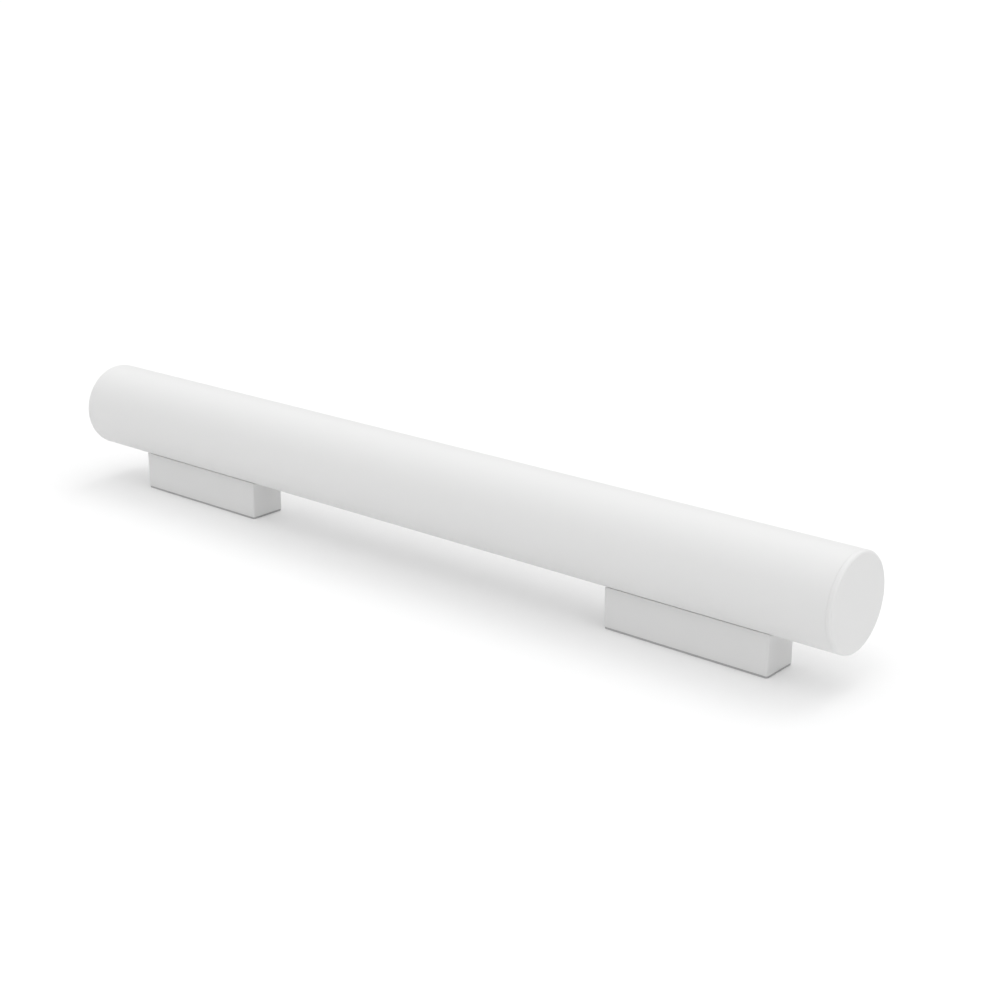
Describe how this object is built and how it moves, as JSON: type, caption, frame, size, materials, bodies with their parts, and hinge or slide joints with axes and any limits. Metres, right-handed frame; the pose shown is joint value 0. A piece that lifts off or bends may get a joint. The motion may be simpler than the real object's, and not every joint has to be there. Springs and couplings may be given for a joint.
{
  "type": "straight grab rail",
  "caption": "Straight round white grab rail on two rectangular block feet, with concealed wall plates locked by set screws.",
  "frame": {"origin": "on the wall's face, under the middle of the rail: the bottom centre of the part's box", "axes": "+X along the rail, +Y towards the side with the set screws (downwards on a wall), +Z away from the wall"},
  "size_m": [0.404, 0.038, 0.0534],
  "materials": {
    "white_polyamide": "matt, very fine moulded grain",
    "plain_steel": "drawn, lightly oiled",
    "cast_aluminium": "die-cast, tumbled",
    "zinc_plated_steel": "bright zinc plating",
    "black_oxide_steel": "black oxide, oiled",
    "grey_rubber": "matt closed-cell EPDM"
  },
  "bodies": {
    "wall_plates": {"wall_plate_left": "zinc_plated_steel", "wall_plate_right": "zinc_plated_steel"},
    "rail": {"rail_sleeve": "white_polyamide", "core_tube": "plain_steel", "end_cap_left": "white_polyamide", "cap_seal_left": "grey_rubber", "end_cap_right": "white_polyamide", "cap_seal_right": "grey_rubber", "foot_shell_left": "white_polyamide", "foot_core_left": "cast_aluminium", "base_gasket_left": "grey_rubber", "nut_bar_left": "plain_steel", "rail_bolt_left_1": "zinc_plated_steel", "spring_washer_left_1": "zinc_plated_steel", "rail_bolt_left_2": "zinc_plated_steel", "spring_washer_left_2": "zinc_plated_steel", "foot_shell_right": "white_polyamide", "foot_core_right": "cast_aluminium", "base_gasket_right": "grey_rubber", "nut_bar_right": "plain_steel", "rail_bolt_right_1": "zinc_plated_steel", "spring_washer_right_1": "zinc_plated_steel", "rail_bolt_right_2": "zinc_plated_steel", "spring_washer_right_2": "zinc_plated_steel"},
    "set_screw_left_1": {"set_screw_left_1": "black_oxide_steel"},
    "set_screw_left_2": {"set_screw_left_2": "black_oxide_steel"},
    "set_screw_right_1": {"set_screw_right_1": "black_oxide_steel"},
    "set_screw_right_2": {"set_screw_right_2": "black_oxide_steel"}
  },
  "joints": [
    {"name": "rail_lift_off", "type": "slide", "parent": "wall_plates", "child": "rail", "axis": [0, 0, 1], "range_m": [0, 0.012]},
    {"name": "set_screw_left_1_travel", "type": "slide", "parent": "rail", "child": "set_screw_left_1", "axis": [0, -1, 0], "range_m": [0, 0.0011]},
    {"name": "set_screw_left_2_travel", "type": "slide", "parent": "rail", "child": "set_screw_left_2", "axis": [0, -1, 0], "range_m": [0, 0.0011]},
    {"name": "set_screw_right_1_travel", "type": "slide", "parent": "rail", "child": "set_screw_right_1", "axis": [0, -1, 0], "range_m": [0, 0.0011]},
    {"name": "set_screw_right_2_travel", "type": "slide", "parent": "rail", "child": "set_screw_right_2", "axis": [0, -1, 0], "range_m": [0, 0.0011]}
  ]
}
